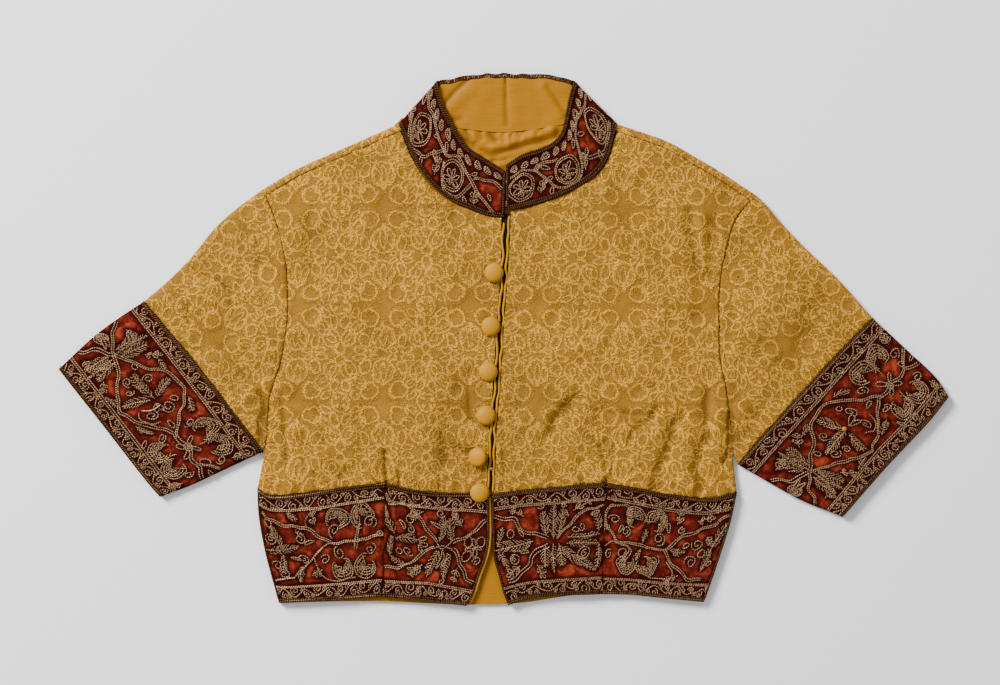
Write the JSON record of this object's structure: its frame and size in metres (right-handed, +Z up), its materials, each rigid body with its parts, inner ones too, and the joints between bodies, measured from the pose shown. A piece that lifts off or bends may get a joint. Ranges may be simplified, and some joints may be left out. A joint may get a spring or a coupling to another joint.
{
  "type": "embroidered short jacket",
  "caption": "Short jacket of figured silk laid flat, with elbow sleeves, stand collar and covered buttons; collar, cuffs and waistband are velvet covered in couched cord.",
  "frame": {"origin": "middle of the jacket's box at its underside, on the surface that it lies on", "axes": "+X towards the wearer's left sleeve, +Y from the hem to the collar, +Z up from the surface, out of the fronts"},
  "size_m": [0.8456, 0.5044, 0.0182],
  "materials": {
    "silk": "ochre satin-ground silk with a paler raised figure",
    "velvet": "crushed rust-red silk velvet",
    "lining": "plain yellow silk, soft sheen",
    "button_cover": "buttons covered in fine ribbed silk",
    "gilt_cord": "tarnished gilt thread twisted round silk, couched down",
    "bead": "amber glass bead",
    "hook": "small nickel snap"
  },
  "bodies": {
    "root": {"back": "silk", "band_back": "velvet", "back_lining": "lining", "front_right": "silk", "front_left": "silk", "sleeve_right": "silk", "sleeve_left": "silk", "cuff_right": "velvet", "cuff_left": "velvet", "band_right_centre": "velvet", "band_right_side": "velvet", "band_left_centre": "velvet", "band_left_side": "velvet", "collar_right": "velvet", "collar_left": "velvet", "collar_lining": "lining", "piping_right": "silk", "piping_left": "silk", "underlap": "lining", "button_1": "button_cover", "button_2": "button_cover", "button_3": "button_cover", "button_4": "button_cover", "button_5": "button_cover", "button_6": "button_cover"}
  },
  "joints": []
}
